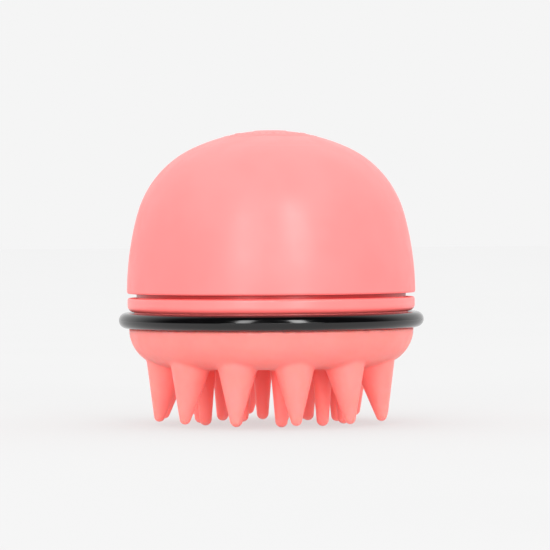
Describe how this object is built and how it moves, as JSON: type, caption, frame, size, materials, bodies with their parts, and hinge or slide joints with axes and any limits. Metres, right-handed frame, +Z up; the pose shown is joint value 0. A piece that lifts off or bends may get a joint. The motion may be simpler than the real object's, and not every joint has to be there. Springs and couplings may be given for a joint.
{
  "type": "scalp massager brush",
  "caption": "Palm-held battery scalp massager brush: domed pull-off cover with a press pad, rubber bumper ring and a soft bowl of tapered bristles over a vibration motor.",
  "frame": {"origin": "on the brush's axis, in the plane of the lowest bristle tips", "axes": "+Z up the brush's axis to the crown; -Y is the front; +X is to the right seen from the front and along the motor shaft"},
  "size_m": [0.0804, 0.0804, 0.0772],
  "materials": {
    "cover_plastic": "satin coral pink",
    "pad_rubber": "soft satin coral pink",
    "casing_plastic": "satin coral pink",
    "head_rubber": "soft semi-matte coral",
    "bumper_rubber": "glossy black",
    "seal_rubber": "matte black",
    "inner_plastic": "natural white moulding",
    "screw_steel": "zinc plated",
    "motor_steel": "plated pressing",
    "core_steel": "dark laminated stack",
    "magnet_ceramic": "dark ferrite",
    "cap_plastic": "dark moulding",
    "weight_brass": "machined",
    "tab_brass": "tinned brass",
    "contact_steel": "nickel plated",
    "cell_jacket": "printed film sleeve, plain",
    "board_laminate": "green solder mask",
    "switch_plastic": "black moulding",
    "stem_plastic": "white moulding",
    "lead_insulation": "coloured sleeve"
  },
  "bodies": {
    "base": {"bristle_bowl": "head_rubber", "outer_bristles": "head_rubber", "middle_bristles": "head_rubber", "inner_bristles": "head_rubber", "head_plate": "inner_plastic", "head_screws": "screw_steel", "bumper_ring": "bumper_rubber", "casing": "casing_plastic", "seal_ring": "seal_rubber", "motor_can": "motor_steel", "motor_magnets": "magnet_ceramic", "motor_end_cap": "cap_plastic", "motor_tabs": "tab_brass", "motor_strap": "motor_steel", "strap_screws": "screw_steel", "battery_tray": "inner_plastic", "tray_screws": "screw_steel", "cell_front": "cell_jacket", "cell_back": "cell_jacket", "bridge_contact": "contact_steel", "terminal_contacts": "contact_steel", "leaf_springs": "contact_steel", "switch_board": "board_laminate", "board_screws": "screw_steel", "switch_body": "switch_plastic", "motor_leads": "lead_insulation", "cell_leads": "lead_insulation"},
    "dome": {"dome_cover": "cover_plastic", "pad_retainer": "inner_plastic", "retainer_screws": "screw_steel"},
    "button": {"press_pad": "pad_rubber", "pad_plunger": "inner_plastic"},
    "switch_stem": {"switch_stem": "stem_plastic"},
    "rotor": {"motor_shaft": "motor_steel", "motor_armature": "core_steel", "eccentric_weight": "weight_brass"}
  },
  "joints": [
    {"name": "dome_lift", "type": "slide", "parent": "base", "child": "dome", "axis": [0, 0, 1], "range_m": [0, 0.045]},
    {"name": "button_press", "type": "slide", "parent": "dome", "child": "button", "axis": [0, 0, -1], "range_m": [0, 0.001], "stiffness_N_per_m": 1200, "springref_m": -0.0006},
    {"name": "stem_press", "type": "slide", "parent": "base", "child": "switch_stem", "axis": [0, 0, -1], "range_m": [0, 0.001]},
    {"name": "rotor_spin", "type": "hinge", "parent": "base", "child": "rotor", "pos_m": [0, 0, 0.0331], "axis": [1, 0, 0], "continuous": true}
  ],
  "couplings": [
    {"joint": "stem_press", "follows": "button_press", "ratio": 1}
  ]
}
